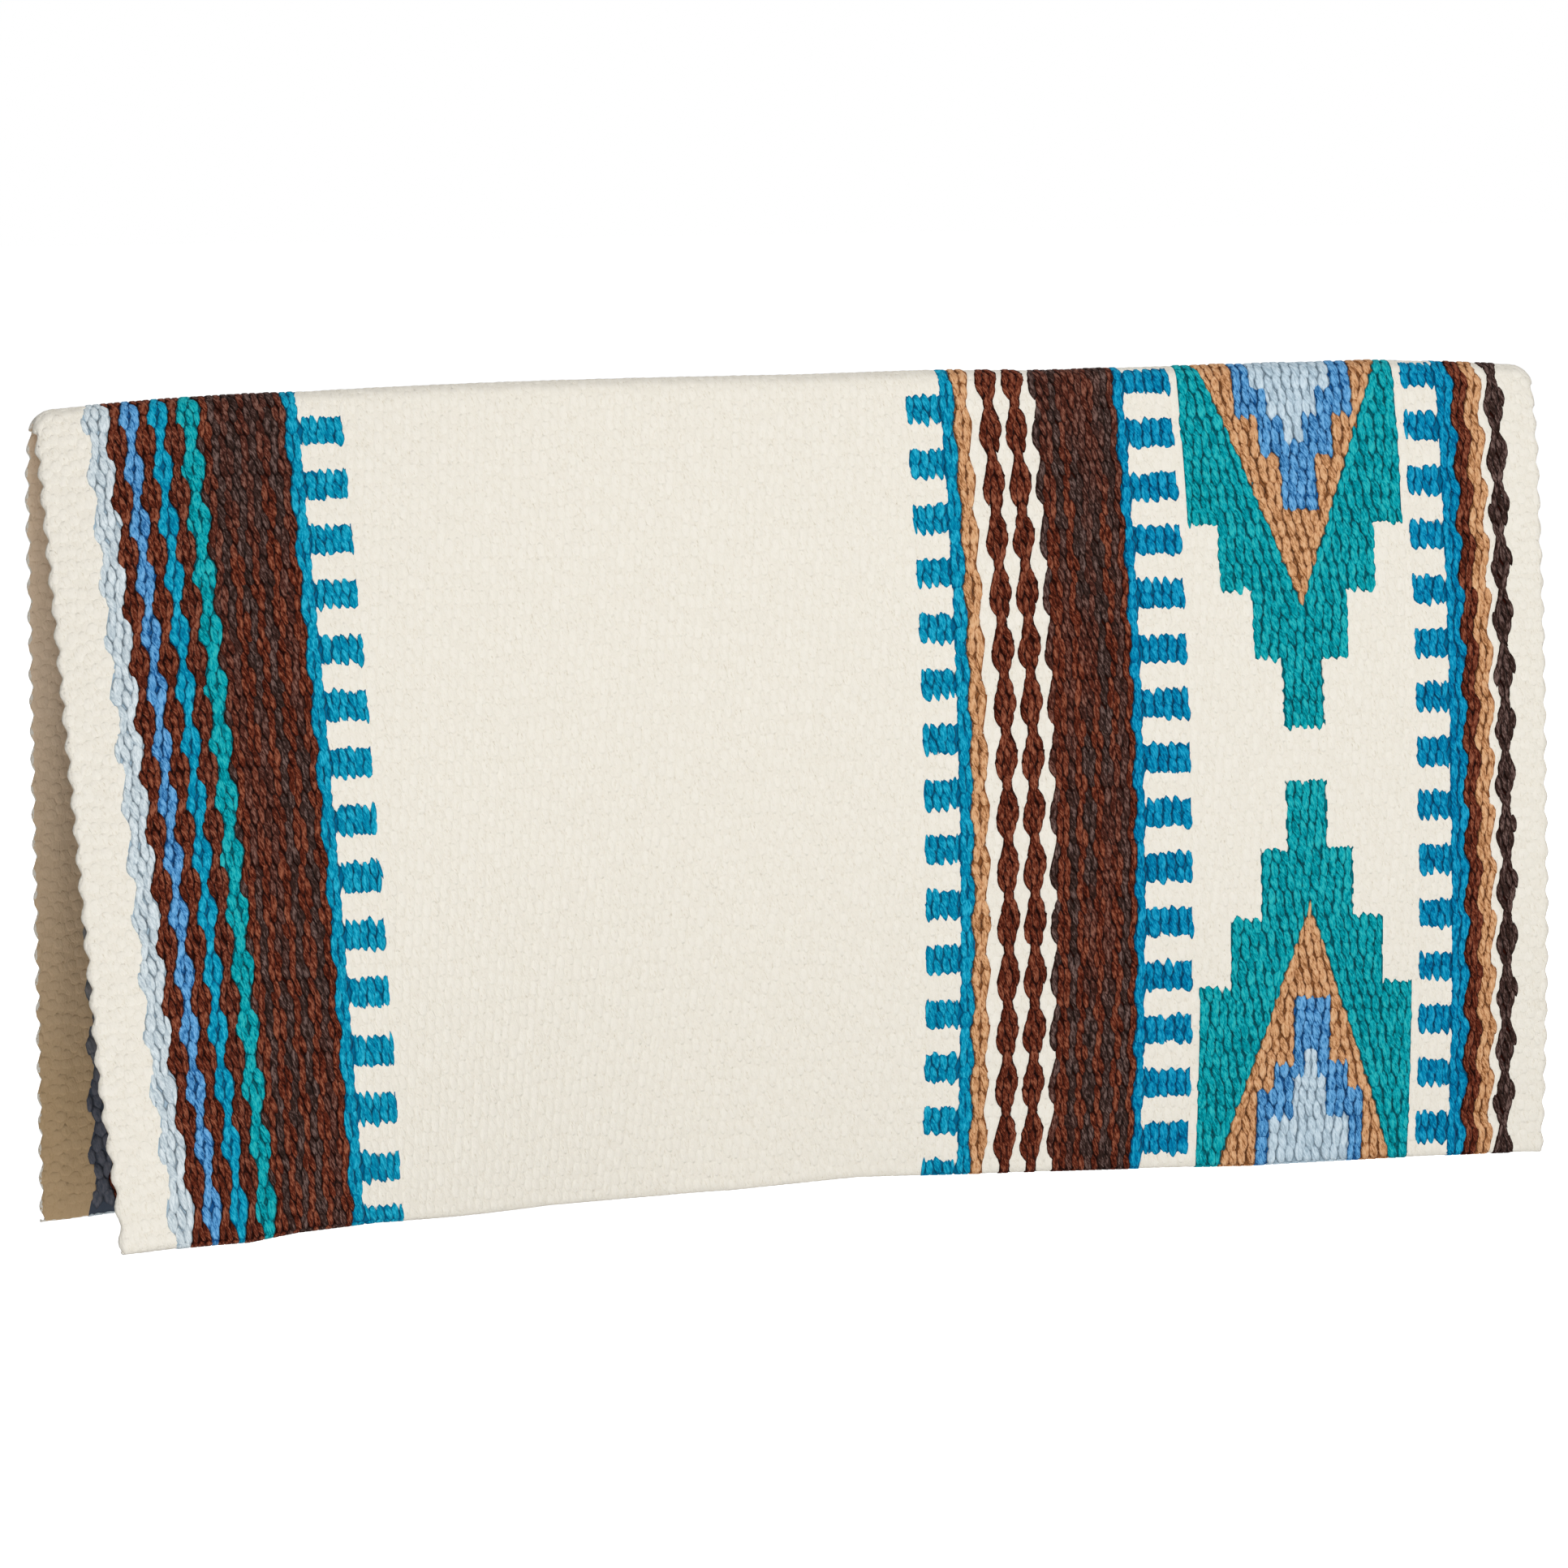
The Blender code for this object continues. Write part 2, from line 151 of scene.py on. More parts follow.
# The second dye lot of a yarn, and how much of it each stripe has
LOTS = {"brown": "charcoal", "light_blue": "pale_blue", "teal": "deep_teal"}
STRIPE_TONES = {
    "brown_wave_1": 0.3, "brown_wave_2": 0.3, "brown_wave_3": 0.35, "brown_beads_1": 0.2,
    "brown_beads_2": 0.25, "brown_stripe": 0.1, "dark_beads": 0.9, "light_blue_wave": 1,
    "light_blue_upper": 0, "light_blue_lower": 0, "teal_wave": 0, "teal_teeth_1": 0,
    "teal_teeth_2": 0.4, "teal_teeth_3": 0.9, "teal_teeth_4": 0.9,
}

# The wide bands alternate strands of both lots: the second lot's share at the fold and its fall
# per metre down, how far strands differ there and how much more per metre, and how far a strand
# wanders from that, in radians per metre and from a start of its own
BAND_GREY, BAND_FALL = 0.55, 0.4
STRAND_SWING, SWING_GROWTH = 0.12, 0.5
WANDER, SLOW_WANDER, WANDER_SPREAD, WANDER_STARTS = 0.3, 12, 30, 40
STRANDS = 180

# In a row, these yarns' floats lie half a column on from the others', so edges interlock. A cut
# float has at least this share of a column, and the last whole row ends so many warp pitches
# above the hem's. Cream floats stray further down their columns than dyed ones.
OFFSET_YARNS = ("teal", "green", "blue")
LEAST_CELL, HEM_GAP, CREAM_STRAY = 0.45, 0.6, 2.5
FLOAT_SEED, SPIKE_SEED = 31, 7

# How the near flap strays from the even drape, in metres: its right-hand end to the right by
# the way down the cloth, and its hem downwards along the fold. The crest that both flaps share
# sinks along the fold.
RIGHT_STRAY = (
    (0, 0.006), (0.05, 0.005), (0.1, 0.0025), (0.15, 0.0009), (0.25, -0.002), (0.4, -0.0015),
)
HEM_STRAY = (
    (-0.43, 0.004), (-0.36, 0.0035), (-0.33, -0.0003), (-0.28, -0.0035), (-0.17, -0.003),
    (-0.1, 0.0005), (-0.055, 0.0016), (0.018, -0.0012), (0.09, 0.001), (0.25, 0.0045),
    (0.43, 0.0015),
)
CREST_STRAY = (
    (-0.42, -0.0014), (-0.35, -0.0005), (-0.28, 0.0013), (-0.07, 0.0019), (0, 0.0022),
    (0.07, 0.0014), (0.14, 0.0030), (0.21, 0.0019), (0.28, 0.0004), (0.35, -0.0014), (0.43, 0),
)

# Where the strays at both ends start along the fold, and the lengths over which they grow
RIGHT_FADE = (0.25, 0.18)
LEFT_FADE = (-0.3, 0.1)

# How far down the cloth the taper and the hem's stray start, and how far down the crest's stray,
# the rounded corners and the off flap's spread reach
TAPER_START, HEM_START = 0.36, 0.43
CREST_REACH, CORNER_REACH, SPREAD_REACH = 0.15, 0.05, 0.05

# The stepped half diamonds, outermost yarn first: passes that it lies off the middle, then half
# widths in weft passes and lengths in warp ends from the fold or the hem. A triangle has one
# pair, which comes to a point.
MOTIFS = {
    "upper": (
        ("green", 0, ((33, 12.4), (24.2, 17.7), (14.8, 22.8), (6, 27.4))),
        ("tan", 0.7, ((28, 18.7),)),
        ("blue", 2.1, ((17.9, 4.3), (11.2, 7.2), (5.4, 11.2))),
        ("light_blue", 1.6, ((12.2, 2.6), (7.5, 4.5), (3, 7.1))),
    ),
    "lower": (
        ("green", 0, ((33, 12.9), (23.5, 17.9), (14, 22.9), (6, 27.9))),
        ("tan", 0.7, ((27, 19.1),)),
        ("blue", 1.8, ((16.5, 4.8), (11.5, 7.5), (5.5, 11.7))),
        ("light_blue", 1.6, ((12.5, 2.9), (5, 5.7), (2, 8))),
    ),
}


def size(name, value, about):
    """One length that a user may change."""
    return bpy.props.FloatProperty(
        name=name, description=about, default=value, unit="LENGTH", precision=5
    )


def angle(name, degrees, about):
    """One angle that a user may change."""
    return bpy.props.FloatProperty(
        name=name, description=about, default=math.radians(degrees), unit="ROTATION"
    )


def share(name, value, about):
    """One plain number that a user may change."""
    return bpy.props.FloatProperty(name=name, description=about, default=value)


def colour(name, code, about):
    """One colour, from its sRGB hex code."""
    return bpy.props.FloatVectorProperty(
        name=name, description=about, default=linear(code), subtype="COLOR", size=3, min=0, max=1
    )


def linear(code):
    """The linear colour of an sRGB hex code."""
    low_share, offset_share, gain = 0.04045, 0.055, 12.92
    shares = [int(code[i:i + 2], 16) / 255 for i in (0, 2, 4)]
    return tuple(
        x / gain if x <= low_share else ((x + offset_share) / (1 + offset_share)) ** 2.4
        for x in shares
    )


class BlanketCloth(bpy.types.PropertyGroup):
    """Sizes of the cloth and of its drape, as in the solids."""

    warp_pitch: size("Warp pitch", 0.00775, "From one warp end to the next")
    pass_pitch: size("Pass pitch", 0.001954, "From one weft pass to the next")
    thickness: size("Thickness", 0.009, "Of the whole cloth")
    ends: share("Warp ends", 118, "From hem to hem")
    shift: share("Fold shift", 0.8, "Warp ends that the fold lies off the middle")
    fold_radius: size("Fold radius", 0.0015, "Inside the fold")
    left_droop: size("Left droop", 0.0139, "How far the fold's left end hangs")
    right_droop: size("Right droop", 0.0064, "How far the fold's right end hangs")
    droop_power: share("Droop power", 3, "How late the droop starts")
    middle_tilt: angle("Middle tilt", 15.3, "Off plumb at the fold, at mid width")
    left_tilt: angle("Left tilt", 29, "Off plumb at the fold, at the left end")
    right_tilt: angle("Right tilt", 17.3, "Off plumb at the fold, at the right end")
    middle_turn: angle("Middle turn", 21.3, "How far the near flap turns back by its hem")
    left_turn: angle("Left turn", 5, "The same at the left end")
    flare_start: share("Flare start", 0.11, "Share of the half width where the flare starts")
    off_spread: share("Off spread", 0.0055, "Share that the off flap is wider than the fold")
    left_taper: size("Left taper", 0.004, "How far the near flap's left end draws in at the hem")
    edge: size("Edge", 0.002, "How far in from the ends and hems the faces start to turn")
    end_reach: size("End reach", 0.015, "Length over which the cloth thins towards its ends")
    end_thinning: share("End thinning", 0.5, "Share of its thickness that it loses there")
    corner: size("Corner", 0.010, "Radius of the fold's rounded ends")
    swing: size("Wave swing", 0.0025, "Of a wavy stripe's edge to each side")
    rise: share("Wave rise", 0.35, "Share of a wave in which its edge swings right")
    bend_start: size("Bend start", 0.010, "Under the crest, where a flap starts to swing")
    bend_end: size("Bend end", 0.07, "Down the cloth, where it swings in full")
    tip: size("Tooth tip", 0.0012, "How far a tooth's rounded end bulges")
    spike: size("Spike", 0.0013, "How far yarns run into each other above and below a tooth")


class BlanketYarn(bpy.types.PropertyGroup):
    """Sizes of the floats, which are the yarn's short stretches over one warp end each."""

    column: size("Column pitch", 0.0052, "From one column of floats to the next")
    brown_column: size("Brown column pitch", 0.0039, "The same in the thinner brown yarn")
    phase: share("Row phase", 0.6, "Warp ends from the crest to the first row's start")
    overlap: share("Overlap", 1.7, "Length of a dyed float over the warp pitch")
    cream_overlap: share("Cream overlap", 1.5, "The same for a cream float")
    rib: share("Rib", 1.2, "The same in the margins and at the hem, where floats lie in ribs")
    rib_fullness: share("Rib fullness", 1.5, "Width of such a float over its column")
    fullness: share("Fullness", 1.15, "Width of a dyed float over its column")
    cream_fullness: share("Cream fullness", 1.1, "The same for a cream float")
    shear: share("Shear", -0.17, "Share of a column that each row lies further over")
    plump: size("Plumpness", 0.0010, "Half the height of a dyed float")
    brown_plump: size("Brown plumpness", 0.0007, "The same for a brown float")
    cream_plump: size("Cream plumpness", 0.0005, "The same for a cream float")
    proud: size("Proud", 0.0004, "How far dyed yarn stands over the cream")
    lean: angle("Lean", 11, "Of a float to the column")
    lean_jitter: angle("Lean jitter", 7, "How far a float strays from its lean")
    point: share("Point", 0.8, "How long a float's pointed ends are")
    ground_depth: size("Ground depth", 0.0009, "Of the ground cloth under dyed floats")
    cream_depth: size("Cream ground depth", 0.0003, "The same under cream floats")
    scallop: size("Scallop", 0.0029, "Height of the scallops along both ends")
    stray: size("Stray", 0.0004, "How far a float strays across its column")
    stray_down: size("Stray down", 0.0011, "How far a float strays along its column")
    lift: size("Lift", 0.0002, "How far a dyed float lies above or below its neighbours")
    cream_lift: size("Cream lift", 0.000025, "The same for a cream float")


class BlanketColours(bpy.types.PropertyGroup):
    """The yarns' colours in painted shade, in the middle and in painted light, and the shade
    inside.
    """

    # Painted shade inside the fold, by which the wool's colour there is multiplied
    cream_inside: colour("Cream, inside", "d9be9c", "Shade on the cream wool inside the fold")
    light_blue_inside: colour("Light blue, inside", "7c7880", "The same on the pale blue wool")
    inside_shade_high: colour("Inside, high", "fae5d1", "The same near the fold, on any wool")
    inside_shade_low: size("Inside, low", -0.38, "Height at which that shade is the full one")
    inside_shade_top: size("Inside, top", -0.15, "Height from which it is the one near the fold")


for wool_name, (about, *codes) in WOOLS.items():
    for (tail, where), code in zip(TAILS.items(), codes):
        label = (wool_name + tail).replace("_", " ").capitalize()
        made = colour(label, code, f"{about}, {where}")
        BlanketColours.__annotations__[wool_name + tail] = made


class BlanketStage(bpy.types.PropertyGroup):
    """The camera, the lamps and the floor."""

    azimuth: angle("Azimuth", -16.572, "Of the camera, from straight in front")
    elevation: angle("Elevation", 8.706, "Of the camera")
    distance: size("Distance", 3.1943, "From the camera to its aim")
    lens: share("Lens", 130.29, "Focal length in millimetres")
    aim_x: size("Aim across", -0.01101, "The camera's aim along the fold")
    aim_z: size("Aim height", -0.22391, "The camera's aim up or down")
    floor_gap: size("Floor gap", 0.16, "From the hem down to the floor")
    floor_reach: size("Floor reach", 12, "Half the floor's side")
    floor: colour("Floor", "f4f4f4", "Pale studio floor")
    floor_glow: share("Floor glow", 0.75, "What the camera sees on top of the lit floor")
    surround: share("Surround", 0.31, "Strength of the even light on the object")


def cloth_sizes():
    """The cloth's sizes, and those that follow from them."""
    cloth = bpy.context.scene.blanket_cloth
    width = cloth.pass_pitch * sum(row[2] for row in DRAFT)
    drops = {
        side: (cloth.ends / 2 - side * cloth.shift) * cloth.warp_pitch for side in (NEAR, OFF)
    }
    return cloth, width, drops


def rim_reach():
    """How far past its flat width or drop the flat cloth runs, to turn round half its rim."""
    cloth, _, _ = cloth_sizes()
    return cloth.thickness / 2 * (math.pi / 2 - 1)


def smooth(part):
    """Eases from 0 to 1."""
    part = np.clip(part, 0, 1)
    return part * part * (3 - 2 * part)


def stance(side, x):
    """How far from plumb the flap leaves the fold, and how far it turns back by its hem."""
    cloth, width, _ = cloth_sizes()
    if side == OFF:
        return np.zeros_like(x), np.zeros_like(x)
    part = 2 * x / width
    flare = smooth((-part - cloth.flare_start) / (1 - cloth.flare_start))
    tilt = cloth.middle_tilt + flare * (cloth.left_tilt - cloth.middle_tilt)
    tilt += smooth(part) * (cloth.right_tilt - cloth.middle_tilt)
    return tilt, cloth.middle_turn + flare * (cloth.left_turn - cloth.middle_turn)


def strayed(side, x, s):
    """Where (x, s) of the flat cloth lies once its uneven ends, hem and corners are drawn in."""
    cloth, _, drops = cloth_sizes()
    if side == OFF:
        return x * (1 + cloth.off_spread * smooth(s / SPREAD_REACH)), s
    right = np.interp(s, *zip(*RIGHT_STRAY)) * smooth((x - RIGHT_FADE[0]) / RIGHT_FADE[1])
    low = smooth((s - TAPER_START) / (drops[side] - TAPER_START))
    left = cloth.left_taper * low * smooth((LEFT_FADE[0] - x) / LEFT_FADE[1])
    hem = np.interp(x, *zip(*HEM_STRAY)) * smooth((s - HEM_START) / (drops[side] - HEM_START))
    return x + right + left, s + hem


def hung(side, x, s, depth):
    """The points at (x, s) of the flat cloth, so deep under its outer face, as they hang."""
    cloth, width, drops = cloth_sizes()
    past_end = (np.abs(x) - width / 2) / cloth.corner + 1
    corner = cloth.corner / 2 * np.maximum(past_end, 0) ** 2 * (1 - smooth(s / CORNER_REACH))
    x, s = strayed(side, x, s)
    radius = cloth.fold_radius + cloth.thickness
    tilt, hem_turn = stance(side, x)
    arc = radius * (math.pi / 2 - tilt)
    over = s <= arc
    run = np.maximum(s - arc, 0)
    turn = hem_turn * run / (drops[side] - arc)
    chord = run * np.sinc(turn / 2 / np.pi)
    up_angle = np.where(over, math.pi / 2 - s / radius, tilt - turn)
    start = np.where(over, up_angle, tilt)
    out = radius * np.cos(start) + chord * np.sin(tilt - turn / 2)
    up = radius * np.sin(start) - chord * np.cos(tilt - turn / 2)
    out -= depth * np.cos(up_angle)
    up -= depth * np.sin(up_angle)
    most = np.where(x < 0, cloth.left_droop, cloth.right_droop)
    droop = most * np.abs(2 * x / width) ** cloth.droop_power
    droop += np.interp(x, *zip(*CREST_STRAY)) * (1 - smooth(s / CREST_REACH))
    return np.stack([x, side * out, up - cloth.fold_radius - droop - corner], -1)


def wrapped(side, inside, x, s, height):
    """The points so high over a face, as they hang. Past an edge the face turns round the rim."""
    cloth, width, drops = cloth_sizes()
    scallop = bpy.context.scene.blanket_yarn.scallop
    edge = cloth.edge
    flat_x, flat_s = width / 2 - edge, drops[side] - edge
    arc = edge + rim_reach()
    turn_x = np.maximum(np.abs(x) - flat_x, 0) / arc * math.pi / 2
    turn_s = np.maximum(s - flat_s, 0) / arc * math.pi / 2
    thin = 1 - cloth.end_thinning * smooth((np.abs(x) - width / 2) / cloth.end_reach + 1)
    rim = cloth.thickness / 2 * thin
    ripple = scallop * (np.abs(np.sin(math.pi * s / (2 * cloth.warp_pitch))) - 2 / math.pi)
    out_x = np.minimum(np.abs(x), flat_x) + (edge + height + ripple) * np.sin(turn_x)
    out_s = np.minimum(s, flat_s) + (edge + height) * np.sin(turn_s)
    depth = rim - (rim + height) * np.cos(turn_x) * np.cos(turn_s)
    if inside:
        depth = 2 * rim - depth
    return hung(side, np.sign(x) * out_x, out_s, depth)


def edge_at(edge, x, s):
    """Where a stripe's edge at x lies at each s. A tip is the rounded end of a tooth."""
    cloth, _, _ = cloth_sizes()
    if edge[0] == "tip":
        turn = (s / cloth.warp_pitch - edge[1]) / TOOTH_ENDS
        return x + cloth.tip * edge[2] * np.sin(math.pi * turn)
    if edge[0] != "wave":
        return x + 0 * s
    turn = (s / cloth.warp_pitch - edge[1]) / TEETH_ENDS % 1
    fall = 1 - cloth.rise
    way = np.where(turn < fall, 1 - 2 * turn / fall, 2 * (turn - fall) / cloth.rise - 1)
    return x + cloth.swing * way * (edge[2] if len(edge) > 2 else 1)


def slope_of(edge, x, s):
    """How far a stripe's edge runs to the right per metre down, over one warp pitch."""
    cloth, _, _ = cloth_sizes()
    half = cloth.warp_pitch / 2
    return (edge_at(edge, x, s + half) - edge_at(edge, x, s - half)) / cloth.warp_pitch


def reach_of(edge):
    """How far an edge's teeth reach, in metres, or zero."""
    cloth, _, _ = cloth_sizes()
    return edge[1] * cloth.pass_pitch if edge[0] == "teeth" else 0


def on_tooth(edge, s):
    """Whether s is on one of the edge's teeth. None lies on the crest."""
    cloth, _, _ = cloth_sizes()
    ends = s / cloth.warp_pitch
    return ends > 0.5 and (ends - edge[2]) % TEETH_ENDS < TOOTH_ENDS


def motif_half(steps, along):
    """Half the width of a motif's outline, so far along it, in metres."""
    cloth, _, _ = cloth_sizes()
    if len(steps) == 1:
        half, ends = steps[0]
        return half * cloth.pass_pitch * (1 - along / (ends * cloth.warp_pitch))
    for half, ends in steps:
        if along <= ends * cloth.warp_pitch:
            return half * cloth.pass_pitch
    return 0


def motif_spans(side, start, end, s):
    """Spans of the motif ground at one row: both edges, their slopes, and the area."""
    cloth, _, drops = cloth_sizes()
    centre = (start + end) / 2
    stops = [(end - centre, 0, "motif_ground", centre)]
    for place, nest in MOTIFS.items():
        upper = place == "upper"
        along = max(s if upper else drops[side] - s, 0)
        for yarn, shift, steps in nest:
            half = motif_half(steps, along)
            if 0 < half < stops[-1][0]:
                slope = 0
                if len(steps) == 1:
                    slope = steps[0][0] * cloth.pass_pitch / (steps[0][1] * cloth.warp_pitch)
                middle = centre + shift * cloth.pass_pitch
                stops.append((half, -slope if upper else slope, f"{yarn}_{place}", middle))
    found = []
    for (outer, widens, area, middle), (inner, narrows, _, within) in zip(stops, stops[1:]):
        found.append((middle - outer, within - inner, (-widens, -narrows), area))
        found.append((within + inner, middle + outer, (narrows, widens), area))
    half, widens, area, middle = stops[-1]
    return found + [(middle - half, middle + half, (-widens, widens), area)]


def lanes():
    """Lanes of the flat cloth, left to right: each edge with its place, and what lies between."""
    cloth, width, _ = cloth_sizes()
    found = []
    x, left = -width / 2, PLAIN
    for index, (name, _, passes, edge) in enumerate(DRAFT):
        right = x + passes * cloth.pass_pitch
        start, end = x + max(reach_of(left), 0), right + min(reach_of(edge), 0)
        found.append((left, start, edge, end, name))
        if edge[0] == "teeth":
            after = DRAFT[index + 1][0]
            low, high = sorted((right, right + reach_of(edge)))
            on, between = (name, after) if edge[1] > 0 else (after, name)
            tip = ("tip", edge[2], math.copysign(1, edge[1]))
            found.append((tip, low, tip, high, (edge, on, between)))
        x, left = right, edge
    return found


def spans_at(side, lane, s):
    """The spans of one lane at one row: both edges, their slopes, and the area."""
    left, start, right, end, area = lane
    if area == "motif_ground":
        return motif_spans(side, start, end, s)
    if isinstance(area, tuple):
        edge, on, between = area
        area = on if on_tooth(edge, s) else between
    slopes = slope_of(left, start, s), slope_of(right, end, s)
    return [(edge_at(left, start, s), edge_at(right, end, s), slopes, area)]


def column_of(area):
    """From one column of an area's floats to the next."""
    yarn = bpy.context.scene.blanket_yarn
    return yarn.brown_column if yarn_of(area) == "brown" else yarn.column


def plump_of(name):
    """Half the height of a yarn's floats."""
    yarn = bpy.context.scene.blanket_yarn
    return {"brown": yarn.brown_plump, "cream": yarn.cream_plump}.get(name, yarn.plump)


def look_of(yarn):
    """How the yarn is drawn."""
    return LOOKS["cream" if yarn == "cream" else "dyed"]


def cells_of(low, high, slopes, pitch, shift, lean):
    """One row's floats in a span: both sides and the slope, which follows the span's edges."""
    count = max(round((high - low) / pitch), 1)
    pitch = (high - low) / count
    if count < 3:
        shift = 0
    cuts = [low + (i + shift % 1) * pitch for i in range(count)]
    least = LEAST_CELL * pitch
    cuts = [low] + [x for x in cuts if low + least < x < high - least] + [high]
    slopes = [slopes[0]] + [lean] * (len(cuts) - 2) + [slopes[1]]
    return [
        (a, b, (left + right) / 2) for a, b, left, right in zip(cuts, cuts[1:], slopes, slopes[1:])
    ]


def row_starts(side):
    """Where the rows of floats start, down the outer face. The last one turns round the hem."""
    cloth, _, drops = cloth_sizes()
    yarn = bpy.context.scene.blanket_yarn
    first = yarn.phase - 1 if side == NEAR else 1 - yarn.phase
    count = math.floor(drops[side] / cloth.warp_pitch - first)
    return (first + np.arange(count)) * cloth.warp_pitch


def yarn_of(area):
    """The yarn of a stripe or a motif."""
    return STRIPES.get(area, area.rsplit("_", 1)[0])


def strand_tone(draws, area, x, s):
    """How much of the second lot a float has. In the wide bands it alternates and wanders."""
    if area in STRIPE_TONES:
        return STRIPE_TONES[area]
    strand = int(x / bpy.context.scene.blanket_yarn.column)
    own = draws[strand % len(draws)]
    pace = SLOW_WANDER + WANDER_SPREAD * own[1]
    wander = math.sin(own[0] * WANDER_STARTS + s * pace) * WANDER
    swing = (STRAND_SWING + SWING_GROWTH * s) * (1 if strand % 2 else -1)
    return BAND_GREY - BAND_FALL * s + swing + wander * own[2]


def float_table(side, inside):
    """Every float of a face. Areas, and rows of place, lift, width, length, tone and slope.

    A sliver under a fifth of a column gets none, and the hem's row has the last areas above it.
    """
    cloth, width, drops = cloth_sizes()
    yarn = bpy.context.scene.blanket_yarn
    rows = row_starts(side) + cloth.warp_pitch / 2
    past = rim_reach()
    hem = drops[side] + past
    rows = np.append(rows[rows < hem - HEM_GAP * cloth.warp_pitch], hem)
    draws = np.random.RandomState(FLOAT_SEED + side + 3 * inside)
    strands = draws.uniform(0, 1, (STRANDS, 3))
    mirror = side if inside else -side
    areas, table = [], []
    for number, s in enumerate(rows):
        at_hem = number == len(rows) - 1
        if inside and at_hem:
            continue
        seen = min(s, drops[side] - cloth.warp_pitch / 4)
        cells = []
        for lane in lanes():
            for low, high, slopes, area in spans_at(side, lane, seen):
                if high - low > yarn.column / 5:
                    shift = yarn.shear * mirror * number + 0.5 * (yarn_of(area) in OFFSET_YARNS)
                    shift *= yarn_of(area) != "brown"
                    lean = mirror * math.tan(yarn.lean)
                    row = cells_of(low, high, slopes, column_of(area), shift, lean)
                    cells += [(*cell, area) for cell in row]
        if not inside:
            cells.append((-width / 2 - 2 * past, -width / 2, 0, "margin_left"))
            cells.append((width / 2, width / 2 + 2 * past, 0, "margin_right"))
        for low, high, slope, area in cells:
            x = (low + high) / 2
            stray = draws.uniform(-1, 1, 3) * (not at_hem)
            cream = yarn_of(area) == "cream"
            if yarn_of(area) == "brown":
                stray[0] /= 2
            lift = stray[2] * yarn.cream_lift if cream else yarn.proud + stray[2] * yarn.lift
            if area in MARGINS or at_hem:
                fullness, overlap = yarn.rib_fullness, yarn.rib
            elif cream:
                fullness, overlap = yarn.cream_fullness, yarn.cream_overlap
            else:
                fullness, overlap = yarn.fullness, yarn.overlap
            wide, long = (high - low) * fullness, cloth.warp_pitch * overlap
            place = s + stray[1] * yarn.stray_down * (CREAM_STRAY if cream else 1)
            tone = strand_tone(strands, area, x + width, s)
            areas.append(area)
            table.append((x + stray[0] * yarn.stray, place, lift, wide, long, tone, slope))
    return np.array(areas, dtype=object), np.array(table)


def add_node(tree, kind, inputs, **settings):
    """Adds a node with its settings. An input is a value, an output, or a node for its first."""
    node = tree.nodes.new(kind)
    for name, value in settings.items():
        setattr(node, name, value)
    for key, value in inputs.items():
        if isinstance(value, bpy.types.Node):
            value = value.outputs[0]
        if isinstance(value, bpy.types.NodeSocket):
            tree.links.new(value, node.inputs[key])
        else:
            node.inputs[key].default_value = value
    return node


def empty_tree(owner):
    """The node tree of a new material or world, with nothing in it."""
    owner.use_nodes = True
    owner.node_tree.nodes.clear()
    return owner.node_tree


